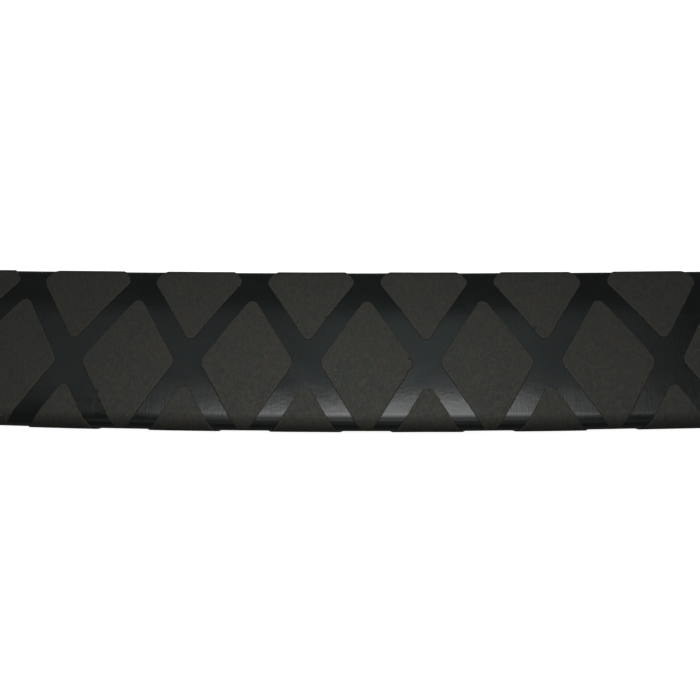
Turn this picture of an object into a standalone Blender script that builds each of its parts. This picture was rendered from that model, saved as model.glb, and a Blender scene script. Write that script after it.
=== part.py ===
"""Anti-slip grip sleeve, lying flattened: one thin tube with rows of raised diamond pads round it.

Metres, +Z up. +X runs along the sleeve and -Y is its front edge. The origin is the middle of the
face that the sleeve lies on.
"""

import bisect
import itertools
import math

import bmesh
import bpy

# Driving dimensions. The outline is the one over the pads' outer faces.
SLEEVE_LENGTH = 0.200
GRIP_WIDTH = 0.0472
GRIP_HEIGHT = 0.0098
FOLD_RADIUS = 0.0034
REST_FLAT_WIDTH = 0.0180
TUBE_WALL = 0.0007
PAD_THICKNESS = 0.0003
PAD_SEAT_GAP = 0.0003

# The lattice: rows stand evenly spaced round the sleeve, and every other row is half a pitch along.
LATTICE_PITCH = 0.0293
CHANNEL_WIDTH = 0.0052
PAD_CORNER_RADIUS = 0.0015
FRONT_ROW_OFFSET = -0.0073
FRONT_PAD_OFFSET = 0.0040
ROWS_ROUND_SLEEVE = ("front", "upper", "underside", "lower")
LEAST_PAD_REMNANT = 0.0010

# How finely round shapes are faceted.
CROWN_FACETS = 3
FOLD_FACETS = 8
SHOULDER_FACETS = 2
CORNER_SEGMENTS = 4
SMOOTH_UNDER = math.radians(30)

TUBE_COLOUR = (0.017, 0.019, 0.021, 1.0)
PAD_COLOUR = (0.033, 0.033, 0.028, 1.0)


def tangent_radius(reach):
    """Radius of the broad arc that starts level and runs into the fold, over this much width."""
    half_height = GRIP_HEIGHT / 2
    rise = half_height - FOLD_RADIUS
    return (reach**2 + half_height**2 - FOLD_RADIUS**2) / (2 * rise)


def section_stations():
    """The section's corners from the top centre round by +Y, as (arc centre y, z, radius, angle)."""
    fold_y = GRIP_WIDTH / 2 - FOLD_RADIUS
    fold_z = GRIP_HEIGHT / 2
    flat_y = REST_FLAT_WIDTH / 2
    crown = tangent_radius(fold_y)
    shoulder = tangent_radius(fold_y - flat_y)
    crown_z = GRIP_HEIGHT - crown
    crown_turn = math.asin(fold_y / (crown - FOLD_RADIUS))
    shoulder_turn = math.asin((fold_y - flat_y) / (shoulder - FOLD_RADIUS))
    up, down = math.pi / 2, -math.pi / 2
    fold_start, fold_end = up - crown_turn, down + shoulder_turn
    arcs = (
        (0, crown_z, crown, up, fold_start, CROWN_FACETS),
        (fold_y, fold_z, FOLD_RADIUS, fold_start, fold_end, FOLD_FACETS),
        (flat_y, shoulder, shoulder, fold_end, down, SHOULDER_FACETS),
        (flat_y, shoulder, shoulder, down, down, 1),
        (-flat_y, shoulder, shoulder, down, down - shoulder_turn, SHOULDER_FACETS),
        (-fold_y, fold_z, FOLD_RADIUS, down - shoulder_turn, -3 * up + crown_turn, FOLD_FACETS),
        (0, crown_z, crown, -3 * up + crown_turn, -3 * up, CROWN_FACETS),
    )
    return [
        (y, z, radius, start + (end - start) * step / facets)
        for y, z, radius, start, end, facets in arcs
        for step in range(facets)
    ]


def corner(station, depth):
    """Where a corner of the section lies at this depth below the pads' outer faces."""
    y, z, radius, angle = station
    return (
        y + (radius - depth) * math.cos(angle),
        z + (radius - depth) * math.sin(angle),
    )


STATIONS = section_stations()
OUTER_CORNERS = [corner(station, 0) for station in STATIONS]
FACET_WIDTHS = [
    math.dist(here, there)
    for here, there in zip(OUTER_CORNERS, OUTER_CORNERS[1:] + OUTER_CORNERS[:1])
]
CORNER_DISTANCES = [0, *itertools.accumulate(FACET_WIDTHS)]
GIRTH = CORNER_DISTANCES[-1]

ROW_SPACING = GIRTH / len(ROWS_ROUND_SLEEVE)
CELL_EDGE = math.hypot(LATTICE_PITCH / 2, ROW_SPACING)
PAD_SCALE = 1 - CHANNEL_WIDTH * CELL_EDGE / (LATTICE_PITCH * ROW_SPACING)
PAD_HALF_LENGTH = PAD_SCALE * LATTICE_PITCH / 2
PAD_HALF_REACH = PAD_SCALE * ROW_SPACING


def section_point(distance, depth):
    """The y and z of a point this far round the section from the top centre, on its flat facet."""
    distance %= GIRTH
    facet = bisect.bisect_right(CORNER_DISTANCES, distance, hi=len(STATIONS)) - 1
    share = (distance - CORNER_DISTANCES[facet]) / FACET_WIDTHS[facet]
    start = corner(STATIONS[facet], depth)
    end = corner(STATIONS[(facet + 1) % len(STATIONS)], depth)
    return [a + (b - a) * share for a, b in zip(start, end)]


def principled(name, colour, roughness):
    material = bpy.data.materials.new(name)
    material.use_nodes = True
    shader = material.node_tree.nodes["Principled BSDF"]
    shader.inputs["Base Color"].default_value = colour
    shader.inputs["Roughness"].default_value = roughness
    shader.inputs["Metallic"].default_value = 0.0
    material.diffuse_color = colour
    return material


def finished_mesh(bm, name, material):
    """Turns the bmesh into a mesh that is smooth round its bends."""
    mesh = bpy.data.meshes.new(name)
    bm.to_mesh(mesh)
    bm.free()
    mesh.materials.append(material)
    mesh.shade_smooth()
    mesh.set_sharp_from_angle(angle=SMOOTH_UNDER)
    return mesh


def tube_mesh(material):
    """The tube's outer skin, open at both ends. A Solidify gives it its wall."""
    depth = PAD_THICKNESS + PAD_SEAT_GAP
    bm = bmesh.new()
    ring = [bm.verts.new((-SLEEVE_LENGTH / 2, *corner(station, depth))) for station in STATIONS]
    edges = [bm.edges.new(ends) for ends in zip(ring, ring[1:] + ring[:1])]
    swept = bmesh.ops.extrude_edge_only(bm, edges=edges)["geom"]
    far_ring = [item for item in swept if isinstance(item, bmesh.types.BMVert)]
    bmesh.ops.translate(bm, vec=(SLEEVE_LENGTH, 0, 0), verts=far_ring)
    bmesh.ops.recalc_face_normals(bm, faces=bm.faces[:])
    return finished_mesh(bm, "sleeve_tube", material)


def round_corners(bm, corners, half_angle):
    """Rounds corners to the pads' corner radius. half_angle is half the angle between their edges."""
    bmesh.ops.bevel(
        bm,
        geom=corners,
        offset=PAD_CORNER_RADIUS / math.tan(half_angle),
        offset_type="OFFSET",
        segments=CORNER_SEGMENTS,
        profile=0.5,
        affect="VERTICES",
    )


def cut_across(bm, position, direction, clear=False):
    bmesh.ops.bisect_plane(
        bm,
        geom=bm.verts[:] + bm.edges[:] + bm.faces[:],
        plane_co=position,
        plane_no=direction,
        clear_outer=clear,
    )


def flat_diamond(bm):
    """A flat diamond with rounded corners: X along the sleeve, Y round it."""
    bmesh.ops.create_circle(bm, cap_ends=True, segments=4, radius=1)
    bmesh.ops.scale(bm, vec=(PAD_HALF_LENGTH, PAD_HALF_REACH, 1), verts=bm.verts[:])
    tip_half_angle = math.atan2(PAD_HALF_LENGTH, PAD_HALF_REACH)
    tips = [v for v in bm.verts if abs(v.co.y) > abs(v.co.x)]
    round_corners(bm, tips, tip_half_angle)
    sides = [v for v in bm.verts if abs(v.co.x) > PAD_HALF_LENGTH - PAD_CORNER_RADIUS]
    round_corners(bm, sides, math.pi / 2 - tip_half_angle)


def pad_mesh(name, along, around, material):
    """A pad centred at along (X) and around (distance round the section), bent onto the sleeve.

    Its X is measured from its own centre. The sleeve's cut ends trim it.
    """
    bm = bmesh.new()
    flat_diamond(bm)
    for end in (-1, 1):
        cut_across(bm, (end * SLEEVE_LENGTH / 2 - along, 0, 0), (end, 0, 0), clear=True)
    for distance, turn in itertools.product(CORNER_DISTANCES[:-1], (-1, 0, 1)):
        bend = distance + turn * GIRTH - around
        if abs(bend) < PAD_HALF_REACH:
            cut_across(bm, (0, bend, 0), (0, 1, 0))
    raised = bmesh.ops.extrude_face_region(bm, geom=bm.faces[:])["geom"]
    top = [item for item in raised if isinstance(item, bmesh.types.BMVert)]
    bmesh.ops.translate(bm, vec=(0, 0, PAD_THICKNESS), verts=top)
    bmesh.ops.recalc_face_normals(bm, faces=bm.faces[:])
    for vert in bm.verts:
        depth = PAD_THICKNESS - vert.co.z
        vert.co.y, vert.co.z = section_point(around + vert.co.y, depth)
    return finished_mesh(bm, name, material)


def pad_centres(shift):
    """X of each pad of a row, from -X to +X, leaving out pads that the cut ends reduce to a sliver."""
    reach = SLEEVE_LENGTH / 2 + PAD_HALF_LENGTH - LEAST_PAD_REMNANT
    first = math.ceil((-reach - shift) / LATTICE_PITCH)
    last = math.floor((reach - shift) / LATTICE_PITCH)
    return [shift + step * LATTICE_PITCH for step in range(first, last + 1)]


def place(name, mesh, collection, parent, location=(0, 0, 0)):
    obj = bpy.data.objects.new(name, mesh)
    collection.objects.link(obj)
    obj.parent = parent
    obj.location = location
    return obj


def build_tube(collection, parent):
    material = principled("sleeve_polyolefin", TUBE_COLOUR, roughness=0.22)
    tube = place("sleeve_tube", tube_mesh(material), collection, parent)
    wall = tube.modifiers.new("wall", "SOLIDIFY")
    wall.thickness = TUBE_WALL
    wall.offset = -1
    wall.use_even_offset = True


def build_pads(collection, parent):
    material = principled("grip_rubber", PAD_COLOUR, roughness=0.85)
    for row, row_name in enumerate(ROWS_ROUND_SLEEVE):
        around = FRONT_ROW_OFFSET + row * ROW_SPACING
        shift = FRONT_PAD_OFFSET + (row % 2) * LATTICE_PITCH / 2
        for number, along in enumerate(pad_centres(shift), start=1):
            name = f"{row_name}_pad_{number}"
            mesh = pad_mesh(name, along, around, material)
            place(name, mesh, collection, parent, location=(along, 0, 0))


def main():
    for obj in list(bpy.data.objects):
        bpy.data.objects.remove(obj)
    collection = bpy.data.collections.new("grip_sleeve")
    bpy.context.scene.collection.children.link(collection)
    datum = place("grip_sleeve_datum", None, collection, None)
    build_tube(collection, datum)
    build_pads(collection, datum)


main()
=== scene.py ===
"""Looks of the anti-slip grip sleeve: a glossy thin tube with rows of raised matt diamond pads.

Every piece is built in place, in metres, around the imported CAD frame: +X along the sleeve, -Y its
front edge, +Z up, and the sleeve lies on z = 0.
"""

import math

import bpy
import numpy as np
from mathutils import Matrix, Vector, noise


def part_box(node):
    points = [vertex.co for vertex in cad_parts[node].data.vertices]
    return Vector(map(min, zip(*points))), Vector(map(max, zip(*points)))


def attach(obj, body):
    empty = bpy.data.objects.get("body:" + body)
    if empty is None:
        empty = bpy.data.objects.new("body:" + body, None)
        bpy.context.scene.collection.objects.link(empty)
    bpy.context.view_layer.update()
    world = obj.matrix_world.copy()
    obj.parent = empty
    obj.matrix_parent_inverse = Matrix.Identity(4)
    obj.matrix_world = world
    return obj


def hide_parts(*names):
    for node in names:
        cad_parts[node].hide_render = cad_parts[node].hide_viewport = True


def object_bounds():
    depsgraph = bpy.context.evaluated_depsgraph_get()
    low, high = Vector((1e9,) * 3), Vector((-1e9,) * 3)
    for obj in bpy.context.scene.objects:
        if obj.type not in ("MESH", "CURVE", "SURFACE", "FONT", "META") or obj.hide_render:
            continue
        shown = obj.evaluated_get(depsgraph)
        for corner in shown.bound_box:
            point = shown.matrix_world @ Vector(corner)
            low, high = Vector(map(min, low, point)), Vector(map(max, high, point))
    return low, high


MM = 0.001

# The section's design values, as in the CAD model.
FOLD_RADIUS = 3.4 * MM
REST_FLAT_WIDTH = 18.0 * MM
CHANNEL_WIDTH = 5.2 * MM
FRONT_ROW_OFFSET = -7.3 * MM
WALL_OVER_PADS = 1.3 * MM
ROWS_ROUND_SLEEVE = ("front", "upper", "underside", "lower")

# Finer shapes that only the visible pieces have.
PAD_RISE = 0.25 * MM
PAD_TIP_RADIUS = 1.5 * MM
PAD_SIDE_RADIUS = 3.0 * MM
PAD_OUTLINE_STEP = 0.25 * MM
PAD_FACE_RINGS = 22
PAD_BASE_RINGS = 8
PAD_BURIED = 0.08 * MM
EDGE_FADE = 0.12
EDGE_RAGGEDNESS = 0.09 * MM
RIM_RADIUS = 0.20 * MM
RIM_POINTS = 4
CUT_UNEVENNESS = 0.15 * MM
CUT_REACH = 2.0 * MM
SKIN_STEPS_ROUND = 360
SKIN_STEPS_ALONG = 260
BORE_STEPS_ALONG = 60

# Smooth noise on the shapes: (size of its features, seed)
SEED_STEP = 7.31
CUT_WANDER = (3.0 * MM, 3)
EDGE_WANDER = (2.4 * MM, 1)
FINE_EDGE_WANDER = (0.7 * MM, 2)
CHIP_WANDER = (0.4 * MM, 5)
EDGE_WANDER_SHARE = 0.6
CHIP_ROUGHNESS = 0.5

# How the soft sleeve lies: bowed a little in plan, its ends a touch narrower and one of them more so,
# its skin not quite true.
BOW = 1.35 * MM
END_NARROWING = 0.025
TAPER = 0.008
SKIN_WAVE = 0.035 * MM
SKIN_WAVE_SIZE = 11.0 * MM

# (distance in from the outline, height above the skin, shade), from foot to face: -1 is painted
# shade, a dark line where a pad meets the skin, 1 is its worn edge.
PAD_EDGE_PROFILE = (
    (-0.06 * MM, -0.04 * MM, -1.0),
    (-0.01 * MM, 0.02 * MM, -1.0),
    (0.04 * MM, 0.10 * MM, -0.4),
    (0.09 * MM, 0.18 * MM, 0.6),
    (0.17 * MM, 0.23 * MM, 1.0),
    (0.28 * MM, PAD_RISE, 0.6),
    (0.50 * MM, PAD_RISE, 0.0),
)
CORNER_POINTS = 9
LEAST_OUTLINE_POINTS = 24
CHIP_DEPTH = 0.75 * MM
# How deep a chip bites before its edge gets the full painted shade
CHIP_SHADE_DEPTH = 0.12 * MM
# Where a pad's edge is chipped: (share of the way round its outline, size of the chip)
CHIPS = {
    "front_pad_2": ((0.63, 0.4 * MM),),
    "front_pad_4": ((0.03, 0.5 * MM), (0.985, 0.3 * MM), (0.10, 0.3 * MM)),
    "front_pad_5": ((0.29, 0.35 * MM),),
    "upper_pad_4": ((0.86, 0.35 * MM),),
    "upper_pad_6": ((0.55, 0.3 * MM), (0.72, 0.4 * MM)),
    "lower_pad_5": ((0.26, 0.45 * MM), (0.21, 0.3 * MM), (0.16, 0.3 * MM)),
    "lower_pad_3": ((0.2, 0.3 * MM),),
    "underside_pad_3": ((0.4, 0.5 * MM),),
    "underside_pad_5": ((0.93, 0.4 * MM),),
}

# Colours
SLEEVE_DARK = (0.0050, 0.0074, 0.0072, 1)
SLEEVE_LIGHT = (0.0072, 0.0100, 0.0098, 1)
SLEEVE_CUT = (0.024, 0.026, 0.026, 1)
RUBBER_GREEN = (0.028, 0.034, 0.027, 1)
RUBBER_BROWN = (0.039, 0.034, 0.027, 1)
RUBBER_BLOOM = (0.056, 0.056, 0.048, 1)
RUBBER_WORN = (0.070, 0.069, 0.060, 1)
# painted shade: the near-black line along each pad's foot and in its deep chips
PAINTED_FOOT_SHADE = (0.008, 0.008, 0.008, 1)
RUBBER_PIT = (0.020, 0.021, 0.018, 1)
DUST = (0.55, 0.55, 0.52, 1)
FLOOR_GREY = (0.8, 0.8, 0.8, 1)
WHITE = (1, 1, 1)
CEILING_TINT = (0.88, 1.0, 0.98)

# Sizes of the materials' features along X, Y and Z, and depths of their relief
LINE_SIZE = (0.45 * MM, 7 * MM, 7 * MM)
LINE_RELIEF = 0.015 * MM
PEEL_SIZE = (1.3 * MM, 0.9 * MM, 0.9 * MM)
PEEL_RELIEF = 0.013 * MM
SMEAR_SIZE = (9 * MM, 5 * MM, 5 * MM)
CLOUD_SIZE = (22 * MM, 12 * MM, 12 * MM)
GRAIN_SIZE = (0.34 * MM, 0.34 * MM, 0.34 * MM)
GRAIN_RELIEF = 0.025 * MM
STREAK_SIZE = (0.30 * MM, 1.6 * MM, 1.6 * MM)
STREAK_RELIEF = 0.02 * MM
MOTTLE_SIZE = (4.5 * MM, 4.5 * MM, 4.5 * MM)
PATCH_SIZE = (1.1 * MM, 1.1 * MM, 1.1 * MM)
SPECK_SPACING = 1.7 * MM

# How rough and how strong the looks are
SKIN_ROUGHNESS = (0.155, 0.23)
CUT_EXTRA_ROUGHNESS = 0.38
CUT_PALENESS = 0.8
RUBBER_ROUGHNESS = (0.56, 0.70)
RUBBER_SPECULAR = 0.30
GRAIN_OVER_STREAKS = 1.3
MOST_BLOOM = 0.75
MOST_PIT = 0.7
MOST_WEAR = 0.5
MOST_DUST = 0.8
FLOOR_ROUGHNESS = 0.9

CAMERA_ELEVATION = math.radians(55.9)
CAMERA_SWING = math.radians(2.6)
CAMERA_ROLL = math.radians(-2.05)
CAMERA_DISTANCE = 227.0 * MM
FOCAL_LENGTH_MM = 46.3
SENSOR_WIDTH_MM = 36
AIM_RIGHT = -0.25 * MM
AIM_UP = -0.43 * MM
CAMERA_NEAR_SHARE = 0.05
FLOOR_REACH = 4
FLOOR_DROP = -0.02 * MM
WALL_SIDES = 48
FLOOR_GLOW = 0.95
WORLD_LIGHT = 0.09

# Lights that hang level and face down:
# (name, middle x, (near y, far y), width, height, radiance, colour, seen in the gloss, turn)
SOFTBOX_TURN = math.radians(12)
HANGING_LIGHTS = (
    ("softbox_core", 0.04, (-0.14, 0.26), 0.36, 1.00, 2.2, WHITE, True, SOFTBOX_TURN),
    ("softbox_middle", 0.04, (-0.42, 0.27), 0.52, 1.01, 1.5, WHITE, True, SOFTBOX_TURN),
    ("softbox_spill", 0.04, (-1.60, 0.29), 0.72, 1.02, 0.8, WHITE, True, 0),
    ("ceiling", -0.07, (0.29, 1.00), 1.10, 1.05, 0.29, CEILING_TINT, True, 0),
    ("ceiling_core", 0.08, (0.29, 0.90), 0.32, 1.06, 0.25, CEILING_TINT, True, 0),
    ("near_key", 0.0, (-0.060, 0.010), 0.06, 0.106, 3.9, WHITE, False, 0),
)
# Upright panels of light round the sleeve: (name, direction in degrees, radiance, seen in the gloss)
PANELS = (
    ("front_glow", -90, 0.17, True),
    ("front_fill", -90, 0.3, False),
    ("back_fill", 90, 0.6, False),
    ("left_fill", 180, 0.6, False),
    ("right_fill", 0, 0.6, False),
)
PANEL_WIDTH = 0.9
PANEL_HEIGHT = 0.66
PANEL_DISTANCE = 1.0

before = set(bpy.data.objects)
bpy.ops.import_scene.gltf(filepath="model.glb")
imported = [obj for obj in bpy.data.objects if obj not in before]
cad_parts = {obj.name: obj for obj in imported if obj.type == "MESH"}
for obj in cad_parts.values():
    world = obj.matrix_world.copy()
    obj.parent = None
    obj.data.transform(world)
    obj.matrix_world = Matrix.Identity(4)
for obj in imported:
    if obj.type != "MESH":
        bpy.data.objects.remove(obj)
cad_low, cad_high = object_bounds()
LENGTH = cad_high.x - cad_low.x
WIDTH = cad_high.y - cad_low.y
HEIGHT = cad_high.z - cad_low.z


# ---------------------------------------------------------------- the section

def tangent_radius(reach):
    """Radius of the broad arc that starts level and runs into the fold, over this much width."""
    half_height = HEIGHT / 2
    rise = half_height - FOLD_RADIUS
    return (reach**2 + half_height**2 - FOLD_RADIUS**2) / (2 * rise)


def section_arcs():
    """The section from the top centre round by +Y: (start centre, end centre, radius, angles)."""
    fold_y = WIDTH / 2 - FOLD_RADIUS
    flat_y = REST_FLAT_WIDTH / 2
    crown = tangent_radius(fold_y)
    shoulder = tangent_radius(fold_y - flat_y)
    crown_turn = math.asin(fold_y / (crown - FOLD_RADIUS))
    shoulder_turn = math.asin((fold_y - flat_y) / (shoulder - FOLD_RADIUS))
    up, down = math.pi / 2, -math.pi / 2
    top = (0, HEIGHT - crown)
    far, near = (fold_y, HEIGHT / 2), (-fold_y, HEIGHT / 2)
    far_base, near_base = (flat_y, shoulder), (-flat_y, shoulder)
    far_start, far_end = up - crown_turn, down + shoulder_turn
    near_start, near_end = down - shoulder_turn, -3 * up + crown_turn
    return (
        (top, top, crown, up, far_start),
        (far, far, FOLD_RADIUS, far_start, far_end),
        (far_base, far_base, shoulder, far_end, down),
        (far_base, near_base, shoulder, down, down),
        (near_base, near_base, shoulder, down, near_start),
        (near, near, FOLD_RADIUS, near_start, near_end),
        (top, top, crown, near_end, -3 * up),
    )


ARCS = section_arcs()
ARC_LENGTHS = [
    radius * abs(end - start) + math.dist(here, there)
    for here, there, radius, start, end in ARCS
]
ARC_STARTS = np.concatenate([[0], np.cumsum(ARC_LENGTHS)])
GIRTH = float(ARC_STARTS[-1])


def on_section(distance, depth):
    """(y, z) at these distances round the section and depths below the pads' outer faces."""
    distance = np.mod(np.asarray(distance, float), GIRTH)
    index = np.clip(np.searchsorted(ARC_STARTS, distance, side="right") - 1, 0, len(ARCS) - 1)
    share = (distance - ARC_STARTS[index]) / np.array(ARC_LENGTHS)[index]
    here, there = (np.array([arc[k] for arc in ARCS], float)[index] for k in (0, 1))
    radius, start, end = (np.array([arc[k] for arc in ARCS], float)[index] for k in (2, 3, 4))
    centre = here + (there - here) * share[..., None]
    angle = start + (end - start) * share
    reach = radius - depth
    return centre[..., 0] + reach * np.cos(angle), centre[..., 1] + reach * np.sin(angle)


# ---------------------------------------------------------------- mesh helpers

def new_piece(name, vertices, faces, material):
    mesh = bpy.data.meshes.new(name)
    mesh.from_pydata(vertices.tolist(), [], faces)
    mesh.materials.append(material)
    mesh.shade_smooth()
    mesh.validate()
    piece = bpy.data.objects.new(name, mesh)
    bpy.context.scene.collection.objects.link(piece)
    return piece


def mark(piece, name, values):
    """Gives each vertex a number that the piece's material reads."""
    layer = piece.data.attributes.new(name, "FLOAT", "POINT")
    layer.data.foreach_set("value", np.asarray(values, np.float32))


def stand_for(piece, node):
    """The piece rides on the one body and replaces its CAD node."""
    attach(piece, "root")
    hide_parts(node)


def grid_faces(rows, columns, close_rows=False, close_columns=False):
    """Quads of a grid whose vertex at (row, column) is row * columns + column."""
    faces = []
    for row in range(rows if close_rows else rows - 1):
        below = ((row + 1) % rows) * columns
        for column in range(columns if close_columns else columns - 1):
            beside = (column + 1) % columns
            faces.append(
                (row * columns + column, row * columns + beside, below + beside, below + column)
            )
    return faces


def wander(x, y, kind):
    """Smooth noise of about +-1. kind is its features' size and its seed."""
    size, seed = kind
    return noise.noise(Vector((x / size, y / size, seed * SEED_STEP)))


def wave(x, around):
    """How far the skin stands off its true shape. It meets itself where the section closes."""
    turn = math.tau * around / GIRTH
    ring = GIRTH / math.tau / SKIN_WAVE_SIZE
    place = Vector((x / SKIN_WAVE_SIZE, ring * math.cos(turn), ring * math.sin(turn)))
    return SKIN_WAVE * noise.noise(place)


def laid(x, around, depth):
    """Points of the sleeve as it lies, from lattice places and depths below the pads' faces."""
    half = LENGTH / 2
    off_true = np.array([wave(a, b) for a, b in zip(x.ravel(), around.ravel())]).reshape(x.shape)
    y, z = on_section(around, depth - off_true)
    near_cut = np.clip((np.abs(x) - half + CUT_REACH) / CUT_REACH, 0, 1)
    cut = [
        wander(b, math.copysign(half, a), CUT_WANDER) for a, b in zip(x.ravel(), around.ravel())
    ]
    share = x / half
    x = x - np.sign(x) * near_cut * CUT_UNEVENNESS * (1 + np.array(cut).reshape(x.shape)) / 2
    y = y * (1 - END_NARROWING * share**2 - TAPER * share) + BOW * (share**2 - 1 / 3)
    return np.stack([x, y, np.maximum(z, 0)], axis=-1)


# ---------------------------------------------------------------- the tube

def wall_path():
    """(x, depth, rough part) along the skin, round a cut rim, back in the bore, round the other."""
    half = LENGTH / 2
    skin, bore = PAD_RISE, WALL_OVER_PADS
    outer = np.linspace(-half + RIM_RADIUS, half - RIM_RADIUS, SKIN_STEPS_ALONG)
    inner = np.linspace(half - RIM_RADIUS, -half + RIM_RADIUS, BORE_STEPS_ALONG)
    turn = np.linspace(0, math.pi / 2, RIM_POINTS)
    fall = [RIM_RADIUS * (1 - math.cos(angle)) for angle in turn]
    reach = [RIM_RADIUS * (1 - math.sin(angle)) for angle in turn]
    rim = [(half - back, skin + down) for back, down in zip(reach, fall)]
    rim += [(half - back, bore - up) for back, up in zip(fall, reach)]
    path = [(x, skin, 0) for x in outer]
    path += [(x, depth, 1) for x, depth in rim[1:-1]]
    path += [(x, bore, 1) for x in inner]
    path += [(-x, depth, 1) for x, depth in rim[-2:0:-1]]
    return np.array(path)


def build_tube(material):
    path = wall_path()
    around = np.linspace(0, GIRTH, SKIN_STEPS_ROUND, endpoint=False)
    x, depth, rough = (
        np.repeat(path[:, k], len(around)).reshape(len(path), -1) for k in range(3)
    )
    vertices = laid(x, np.tile(around, (len(path), 1)), depth).reshape(-1, 3)
    faces = grid_faces(len(path), len(around), close_rows=True, close_columns=True)
    tube = new_piece("glossy_sleeve", vertices, faces, material)
    mark(tube, "rough_part", rough.ravel())
    stand_for(tube, "sleeve_tube")


# ---------------------------------------------------------------- the pads

def lattice():
    """Pitch along the sleeve and the X of one front pad's centre, from whole CAD pads."""
    (low_a, high_a), (low_b, high_b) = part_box("front_pad_3"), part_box("front_pad_4")
    here, there = (low_a.x + high_a.x) / 2, (low_b.x + high_b.x) / 2
    return there - here, there


def unit(vector):
    return vector / np.linalg.norm(vector)


def diamond_outline(half_length, half_reach):
    """Points round a diamond with rounded corners, (along, around), anticlockwise."""
    corners = np.array(
        [(half_length, 0), (0, half_reach), (-half_length, 0), (0, -half_reach)], float
    )
    points = []
    for before, corner, after in zip(np.roll(corners, 1, 0), corners, np.roll(corners, -1, 0)):
        radius = PAD_SIDE_RADIUS if corner[0] else PAD_TIP_RADIUS
        back, on = unit(before - corner), unit(after - corner)
        half_angle = math.acos(float(back @ on)) / 2
        centre = corner + unit(back + on) * radius / math.sin(half_angle)
        start = corner + back * radius / math.tan(half_angle) - centre
        for angle in np.linspace(0, math.pi - 2 * half_angle, CORNER_POINTS):
            c, s = math.cos(angle), math.sin(angle)
            points.append(centre + (start[0] * c - start[1] * s, start[0] * s + start[1] * c))
    return np.array(points)


def clipped(points, limit, side):
    """The part of a closed outline that lies within side * along <= limit."""
    kept = []
    for here, there in zip(points, np.roll(points, -1, axis=0)):
        a, b = side * here[0] - limit, side * there[0] - limit
        if a <= 0:
            kept.append(here)
        if a * b < 0:
            kept.append(here + (there - here) * a / (a - b))
    return np.array(kept)


def resampled(points, step):
    """A closed outline with points about this far apart."""
    loop = np.vstack([points, points[:1]])
    travelled = np.concatenate([[0], np.cumsum(np.linalg.norm(np.diff(loop, axis=0), axis=1))])
    count = max(LEAST_OUTLINE_POINTS, round(travelled[-1] / step))
    at = np.linspace(0, travelled[-1], count, endpoint=False)
    return np.stack([np.interp(at, travelled, loop[:, k]) for k in (0, 1)], axis=-1)


def inward_normals(points):
    along = np.roll(points, -1, axis=0) - np.roll(points, 1, axis=0)
    normals = np.stack([-along[:, 1], along[:, 0]], axis=-1)
    return normals / np.linalg.norm(normals, axis=1)[:, None]


def edge_wander(outline):
    """How far each point of the outline stands in, for the slight wander of a moulded rubber edge."""
    share = EDGE_WANDER_SHARE
    offset = [
        share * wander(x, y, EDGE_WANDER) + (1 - share) * wander(x, y, FINE_EDGE_WANDER)
        for x, y in outline
    ]
    return EDGE_RAGGEDNESS * np.array(offset)


def chips(outline, places):
    """How deep the chips at these places bite in, each a (share of the way round, size)."""
    bite = np.zeros(len(outline))
    for share, size in places:
        middle = outline[round(share * len(outline)) % len(outline)]
        away = np.linalg.norm(outline - middle, axis=1)
        bite = np.maximum(bite, CHIP_DEPTH * size / MM * np.clip(1 - (away / size) ** 2, 0, 1))
    return bite * np.array([1 + CHIP_ROUGHNESS * wander(x, y, CHIP_WANDER) for x, y in outline])


def pad_rings(outline, inset):
    """The pad's middle, and loops of (points, height, shade) round it.

    The loops run from under the middle out to the foot and back in over the face. inset is how far
    each point of the edge stands in from the clean outline. It fades out over the face, and where it
    is deep the edge gets painted shade, as if the chip's hollow lay in shadow.
    """
    inward = inward_normals(outline)
    middle = outline.mean(axis=0)

    def loop(distance, share):
        clean = outline + inward * distance
        fade = max(0.0, 1 - share / EDGE_FADE)
        return clean + (middle - clean) * share + inward * (inset * fade)[:, None]

    base_shares = np.linspace(1, 0, PAD_BASE_RINGS + 1)[1:-1]
    face_shares = np.linspace(0, 1, PAD_FACE_RINGS + 1)[1:-1]
    rings = [(loop(0, share), -PAD_BURIED, 0) for share in base_shares]
    rings.append((loop(0, 0), -PAD_BURIED, -1))
    # Painted shade in deep chips, as if their hollows lay in shadow.
    painted_chip_shade = np.clip((inset - EDGE_RAGGEDNESS) / CHIP_SHADE_DEPTH, 0, 2)
    for distance, height, shade in PAD_EDGE_PROFILE:
        rings.append((loop(distance, 0), height, np.maximum(shade - painted_chip_shade, -1)))
    face = PAD_EDGE_PROFILE[-1][0]
    rings += [(loop(face, share), PAD_RISE, 0) for share in face_shares]
    return middle, rings


def build_pad(name, along, around, half_length, half_reach, material):
    outline = diamond_outline(half_length, half_reach) + (along, around)
    for side in (-1, 1):
        outline = clipped(outline, LENGTH / 2 - RIM_RADIUS, side)
    outline = resampled(outline, PAD_OUTLINE_STEP)
    inset = edge_wander(outline) + chips(outline, CHIPS.get(name, ()))
    middle, rings = pad_rings(outline, inset)
    flat = np.concatenate(
        [
            np.column_stack([points, np.full(len(points), height), np.full(len(points), shade)])
            for points, height, shade in rings
        ]
    )
    flat = np.vstack([flat, (*middle, -PAD_BURIED, 0), (*middle, PAD_RISE, 0)])
    vertices = laid(flat[:, 0], flat[:, 1], PAD_RISE - flat[:, 2])
    count = len(outline)
    faces = grid_faces(len(rings), count, close_columns=True)
    under, over = len(flat) - 2, len(flat) - 1
    last = (len(rings) - 1) * count
    for k in range(count):
        beside = (k + 1) % count
        faces.append((under, beside, k))
        faces.append((over, last + k, last + beside))
    pad = new_piece(f"rubber_{name}", vertices, faces, material)
    # rim: 1 is the worn edge, -1 is painted shade at the foot and in deep chips
    mark(pad, "rim", flat[:, 3])
    stand_for(pad, name)


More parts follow.
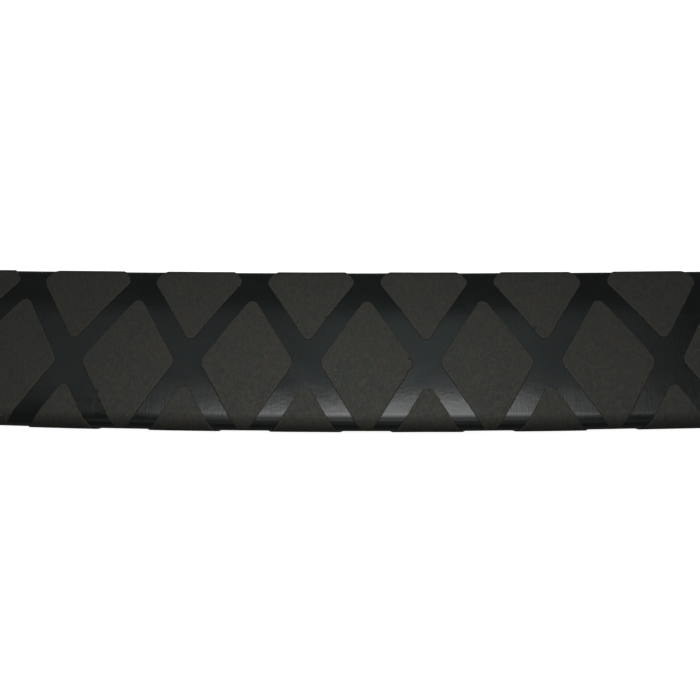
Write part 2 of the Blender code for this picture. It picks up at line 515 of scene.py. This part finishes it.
def build_pads(material):
    pitch, front_centre = lattice()
    row_spacing = GIRTH / len(ROWS_ROUND_SLEEVE)
    cell_edge = math.hypot(pitch / 2, row_spacing)
    scale = 1 - CHANNEL_WIDTH * cell_edge / (pitch * row_spacing)
    half_length, half_reach = scale * pitch / 2, scale * row_spacing
    for row, row_name in enumerate(ROWS_ROUND_SLEEVE):
        shift = front_centre + (row % 2) * pitch / 2
        around = FRONT_ROW_OFFSET + row * row_spacing
        for name in sorted(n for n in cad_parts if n.startswith(f"{row_name}_pad_")):
            low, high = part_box(name)
            whole_end = high.x - half_length if low.x < 0 else low.x + half_length
            nearest = round((whole_end - shift) / pitch)
            build_pad(name, shift + nearest * pitch, around, half_length, half_reach, material)


# ---------------------------------------------------------------- materials

# The sockets of a Mix node that its colour setting uses: share, first, second, and the result
MIX_COLOUR_INPUTS = (0, 6, 7)
MIX_COLOUR_OUTPUT = 2


class Looks:
    """One procedural material on a Principled shader. Places are in metres along the object's axes."""

    def __init__(self, name):
        self.material = bpy.data.materials.new(name)
        self.material.use_nodes = True
        self.tree = self.material.node_tree
        self.shader = self.tree.nodes["Principled BSDF"]
        self.place = self.add("ShaderNodeTexCoord").outputs["Object"]

    def add(self, kind, settings=None, **inputs):
        made = self.tree.nodes.new(kind)
        for name, value in (settings or {}).items():
            setattr(made, name, value)
        for name, value in inputs.items():
            self.plug(made.inputs[name.replace("_", " ")], value)
        return made

    def plug(self, socket, value):
        """Links an output to the socket, or sets the socket to a plain value."""
        if isinstance(value, bpy.types.NodeSocket):
            self.tree.links.new(value, socket)
        else:
            socket.default_value = value

    def set(self, **inputs):
        """Sets the shader's own sockets."""
        for name, value in inputs.items():
            self.plug(self.shader.inputs[name.replace("_", " ")], value)

    def noise(self, size, detail=2.0, roughness=0.5):
        """Noise from 0 to 1 whose features have this size in metres along X, Y and Z."""
        scaled = self.add("ShaderNodeMapping", Vector=self.place, Scale=[1 / side for side in size])
        texture = self.add(
            "ShaderNodeTexNoise",
            Vector=scaled.outputs["Vector"],
            Scale=1.0,
            Detail=detail,
            Roughness=roughness,
        )
        return texture.outputs["Fac"]

    def cells(self, size):
        """Distance from the nearest of scattered points this far apart, and a colour for each point."""
        texture = self.add("ShaderNodeTexVoronoi", Vector=self.place, Scale=1 / size)
        return texture.outputs["Distance"], texture.outputs["Color"]

    def maths(self, operation, first, second=0.0, third=0.0):
        made = self.add("ShaderNodeMath", {"operation": operation})
        for socket, value in zip(made.inputs, (first, second, third)):
            self.plug(socket, value)
        return made.outputs["Value"]

    def ranged(self, value, low, high, to_low=0.0, to_high=1.0):
        made = self.add(
            "ShaderNodeMapRange",
            {"interpolation_type": "SMOOTHSTEP"},
            Value=value,
            From_Min=low,
            From_Max=high,
            To_Min=to_low,
            To_Max=to_high,
        )
        return made.outputs["Result"]

    def mixed(self, share, first, second):
        made = self.add("ShaderNodeMix", {"data_type": "RGBA"})
        for index, value in zip(MIX_COLOUR_INPUTS, (share, first, second)):
            self.plug(made.inputs[index], value)
        return made.outputs[MIX_COLOUR_OUTPUT]

    def marked(self, name):
        return self.add("ShaderNodeAttribute", {"attribute_name": name}).outputs["Fac"]

    def bump(self, height, distance, under=None):
        made = self.add("ShaderNodeBump", Height=height, Distance=distance, Strength=1.0)
        if under is not None:
            self.tree.links.new(under, made.inputs["Normal"])
        return made.outputs["Normal"]


def sleeve_looks():
    """Glossy blue-black polyolefin: fine lines round it, a faint orange-peel skin and dull smears."""
    looks = Looks("sleeve_polyolefin")
    lines = looks.noise(LINE_SIZE, detail=3)
    peel = looks.noise(PEEL_SIZE, detail=2)
    smears = looks.noise(SMEAR_SIZE, detail=5, roughness=0.6)
    cloud = looks.noise(CLOUD_SIZE, detail=3)
    rough_part = looks.marked("rough_part")
    body = looks.mixed(looks.ranged(cloud, 0.35, 0.65), SLEEVE_DARK, SLEEVE_LIGHT)
    body = looks.mixed(looks.maths("MULTIPLY", rough_part, CUT_PALENESS), body, SLEEVE_CUT)
    gloss = looks.ranged(smears, 0.35, 0.70, *SKIN_ROUGHNESS)
    gloss = looks.maths("ADD", gloss, looks.maths("MULTIPLY", rough_part, CUT_EXTRA_ROUGHNESS))
    normal = looks.bump(peel, PEEL_RELIEF)
    normal = looks.bump(lines, LINE_RELIEF, normal)
    looks.set(Base_Color=body, Roughness=gloss, Normal=normal)
    return looks.material


def rubber_looks():
    """Matt olive-black rubber: fine grain, streaks round the sleeve, worn rims and a little dust.

    Painted shade darkens each pad's foot and its deep chips.
    """
    looks = Looks("grip_rubber")
    grain = looks.noise(GRAIN_SIZE, detail=4, roughness=0.7)
    streaks = looks.noise(STREAK_SIZE, detail=3)
    mottle = looks.noise(MOTTLE_SIZE, detail=5, roughness=0.6)
    patchy = looks.noise(PATCH_SIZE, detail=3)
    rim = looks.marked("rim")
    body = looks.mixed(looks.ranged(mottle, 0.30, 0.70), RUBBER_GREEN, RUBBER_BROWN)
    fine = looks.maths("MULTIPLY_ADD", grain, GRAIN_OVER_STREAKS, streaks)
    body = looks.mixed(looks.ranged(fine, 1.02, 1.48, 0.0, MOST_BLOOM), body, RUBBER_BLOOM)
    body = looks.mixed(looks.ranged(fine, 1.05, 0.82, 0.0, MOST_PIT), body, RUBBER_PIT)
    worn_patches = looks.ranged(patchy, 0.42, 0.62, 0.0, MOST_WEAR)
    worn = looks.maths("MULTIPLY", looks.ranged(rim, 0.0, 1.0), worn_patches)
    body = looks.mixed(worn, body, RUBBER_WORN)
    # Painted shade: the foot of each pad and its deep chips go nearly black.
    body = looks.mixed(looks.ranged(rim, -0.2, -0.9), body, PAINTED_FOOT_SHADE)
    far, tint = looks.cells(SPECK_SPACING)
    tint = looks.add("ShaderNodeSeparateColor", Color=tint).outputs["Red"]
    small = looks.ranged(far, 0.02, 0.08, MOST_DUST, 0.0)
    speck = looks.maths("MULTIPLY", small, looks.ranged(tint, 0.90, 1.0))
    body = looks.mixed(speck, body, DUST)
    gloss = looks.ranged(patchy, 0.3, 0.7, *RUBBER_ROUGHNESS)
    normal = looks.bump(streaks, STREAK_RELIEF)
    normal = looks.bump(grain, GRAIN_RELIEF, normal)
    looks.set(Base_Color=body, Roughness=gloss, Normal=normal)
    looks.set(Specular_IOR_Level=RUBBER_SPECULAR)
    return looks.material


# ---------------------------------------------------------------- stage

def build_camera():
    """A camera at the photograph's viewing angle, a little off the sleeve's axis and rolled to suit."""
    swing, rise = CAMERA_SWING, CAMERA_ELEVATION
    back = Vector((math.sin(swing), -math.cos(swing), 0)) * math.cos(rise)
    back.z = math.sin(rise)
    level = Vector((math.cos(swing), math.sin(swing), 0))
    upright = back.cross(level)
    right = level * math.cos(CAMERA_ROLL) + upright * math.sin(CAMERA_ROLL)
    up = back.cross(right)
    data = bpy.data.cameras.new("camera")
    data.lens = FOCAL_LENGTH_MM
    data.sensor_width = SENSOR_WIDTH_MM
    data.clip_start = CAMERA_DISTANCE * CAMERA_NEAR_SHARE
    camera = bpy.data.objects.new("camera", data)
    bpy.context.scene.collection.objects.link(camera)
    aim = Vector((0, -BOW / 3, HEIGHT / 2)) + right * AIM_RIGHT + up * AIM_UP
    camera.matrix_world = Matrix((right, up, back)).transposed().to_4x4()
    camera.location = aim + back * CAMERA_DISTANCE
    bpy.context.scene.camera = camera


def build_stage_part(name, vertices, faces, material, shades):
    """A part of the pale surroundings. It neither lights the sleeve nor is mirrored in it."""
    mesh = bpy.data.meshes.new(name)
    mesh.from_pydata(vertices, [], faces)
    mesh.materials.append(material)
    part = bpy.data.objects.new(name, mesh)
    bpy.context.scene.collection.objects.link(part)
    part.visible_glossy = False
    part.visible_diffuse = False
    part.visible_shadow = shades


def build_surroundings():
    """A plain pale floor just under the sleeve, and a pale wall round it for low views."""
    looks = Looks("pale_floor")
    looks.set(Base_Color=FLOOR_GREY, Roughness=FLOOR_ROUGHNESS)
    looks.set(Emission_Color=(*WHITE, 1), Emission_Strength=FLOOR_GLOW)
    sides = range(WALL_SIDES)
    turns = [math.tau * side / WALL_SIDES for side in sides]
    foot = [
        (FLOOR_REACH * math.cos(turn), FLOOR_REACH * math.sin(turn), FLOOR_DROP) for turn in turns
    ]
    head = [(x, y, FLOOR_REACH) for x, y, _ in foot]
    wall = grid_faces(2, WALL_SIDES, close_columns=True)
    build_stage_part("floor", foot, [tuple(sides)], looks.material, shades=True)
    build_stage_part("wall", foot + head, wall, looks.material, shades=False)


def build_light(name, width, depth, radiance, colour, seen):
    """A rectangle of soft light, as bright as this all over.

    A seen light is what glossy surfaces mirror, and the others light the matt surfaces.
    """
    light = bpy.data.lights.new(name, "AREA")
    light.shape = "RECTANGLE"
    light.size, light.size_y = width, depth
    light.energy = radiance * math.pi * width * depth
    light.color = colour
    lamp = bpy.data.objects.new(name, light)
    bpy.context.scene.collection.objects.link(lamp)
    lamp.visible_glossy = seen
    lamp.visible_diffuse = not seen
    lamp.visible_camera = False
    return lamp


def hang_light(name, middle_x, ends_y, width, height, radiance, colour, seen, turn):
    """A level light facing down at this height."""
    lamp = build_light(name, width, ends_y[1] - ends_y[0], radiance, colour, seen)
    lamp.location = (middle_x, sum(ends_y) / 2, height)
    lamp.rotation_euler.z = turn


def stand_panel(name, direction, radiance, seen):
    """An upright light on the floor in this direction, facing the sleeve."""
    lamp = build_light(name, PANEL_WIDTH, PANEL_HEIGHT, radiance, WHITE, seen)
    direction = math.radians(direction)
    away = Vector((math.cos(direction), math.sin(direction), 0))
    lamp.location = away * PANEL_DISTANCE + Vector((0, 0, PANEL_HEIGHT / 2))
    lamp.rotation_euler = away.to_track_quat("Z", "Y").to_euler()


def build_lights():
    """A soft overhead light that fades to its front and sides, a dim ceiling behind it, and fills."""
    for light in HANGING_LIGHTS:
        hang_light(*light)
    for panel in PANELS:
        stand_panel(*panel)
    world = bpy.data.worlds.new("studio")
    bpy.context.scene.world = world
    world.use_nodes = True
    background = world.node_tree.nodes["Background"]
    background.inputs["Color"].default_value = (*WHITE, 1)
    background.inputs["Strength"].default_value = WORLD_LIGHT


build_camera()
build_surroundings()
build_lights()
build_tube(sleeve_looks())
build_pads(rubber_looks())
bpy.context.scene.view_settings.view_transform = "Standard"
